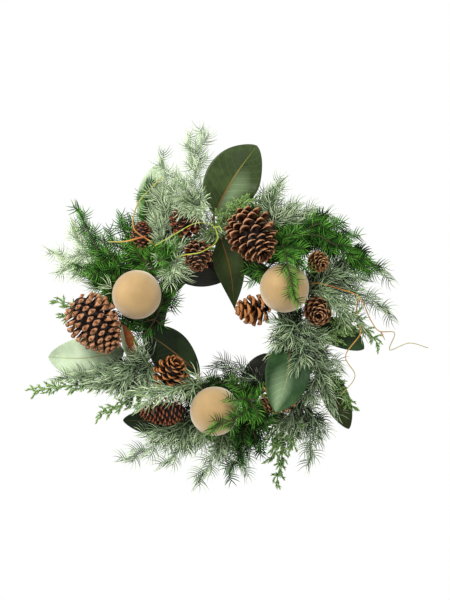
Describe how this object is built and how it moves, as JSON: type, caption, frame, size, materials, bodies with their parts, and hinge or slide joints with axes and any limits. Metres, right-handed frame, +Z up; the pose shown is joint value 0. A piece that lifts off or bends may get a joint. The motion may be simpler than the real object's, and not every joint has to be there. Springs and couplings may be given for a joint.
{
  "type": "fir and magnolia wreath",
  "caption": "Hanging wreath on a vine ring, with fir, frosted and cedar sprays, magnolia leaves, pine cones, velvet balls and twigs.",
  "frame": {"origin": "the seat on the hook: the inside of the vine ring at its top, midway through its thickness", "axes": "+Z up, +Y out of the flat back towards the wall, the front faces -Y"},
  "size_m": [0.6748, 0.126, 0.6224],
  "materials": {
    "vine_cane": "rough dark vine bark",
    "velvet": "short velvet flock",
    "pine_cone": "dry, matt scales",
    "reddish_cone": "dry, matt scales",
    "tan_cone": "dry, matt scales",
    "leaf_dark": "satin, veined",
    "leaf_olive": "satin, veined",
    "leaf_pale": "matt, veined",
    "leaf_underside_dark": "matt",
    "twig_bark": "smooth bark",
    "tendril_green": "smooth green bark",
    "frosted_needles": "frosted",
    "fir_needles": "matt",
    "cedar_needles": "matt",
    "sage_needles": "matt"
  },
  "bodies": {
    "root": {"vine_ring": "vine_cane", "velvet_ball_left": "velvet", "velvet_ball_right": "velvet", "velvet_ball_bottom": "velvet", "cone_left": "pine_cone", "cone_top": "pine_cone", "cone_upper_left_outer": "reddish_cone", "cone_upper_left_inner": "pine_cone", "cone_rosette": "pine_cone", "cone_lying": "pine_cone", "cone_open": "pine_cone", "cone_right": "pine_cone", "cone_behind_leaf": "pine_cone", "small_cone_left": "reddish_cone", "small_cone_right": "tan_cone", "leaf_top": "leaf_olive", "leaf_hanging": "leaf_dark", "leaf_dark_upper_left": "leaf_underside_dark", "leaf_pale_left": "leaf_pale", "leaf_lower_left": "leaf_dark", "leaf_bottom_left": "leaf_dark", "leaf_folded_left": "leaf_dark", "leaf_right": "leaf_dark", "leaf_right_outer": "leaf_dark", "leaf_lower_right": "leaf_olive", "leaf_dark_lower_right": "leaf_underside_dark", "leaf_pale_upper_left": "leaf_pale", "twig_upper_left": "twig_bark", "tendril_top": "tendril_green", "twig_right": "twig_bark", "frosted_top": "frosted_needles", "frosted_upper_left": "frosted_needles", "frosted_left": "frosted_needles", "frosted_lower_left": "frosted_needles", "frosted_bottom_left": "frosted_needles", "frosted_bottom": "frosted_needles", "frosted_bottom_right": "frosted_needles", "frosted_right": "frosted_needles", "frosted_far_right": "frosted_needles", "frosted_upper_right": "frosted_needles", "frosted_inside_bottom": "frosted_needles", "fir_upper_left": "fir_needles", "fir_left": "fir_needles", "fir_over_ball": "fir_needles", "fir_inside_left": "fir_needles", "fir_bottom": "fir_needles", "fir_over_bottom_ball": "fir_needles", "fir_right": "fir_needles", "fir_top": "fir_needles", "fir_over_right_ball": "fir_needles", "fir_below_top_cone": "fir_needles", "fir_inside_bottom": "fir_needles", "cedar_left": "cedar_needles", "cedar_lower_left": "cedar_needles", "cedar_bottom_right": "cedar_needles", "cedar_right": "cedar_needles", "cedar_far_right": "cedar_needles", "cedar_top": "cedar_needles", "sage_lower_left": "sage_needles", "sage_right": "sage_needles"}
  },
  "joints": []
}
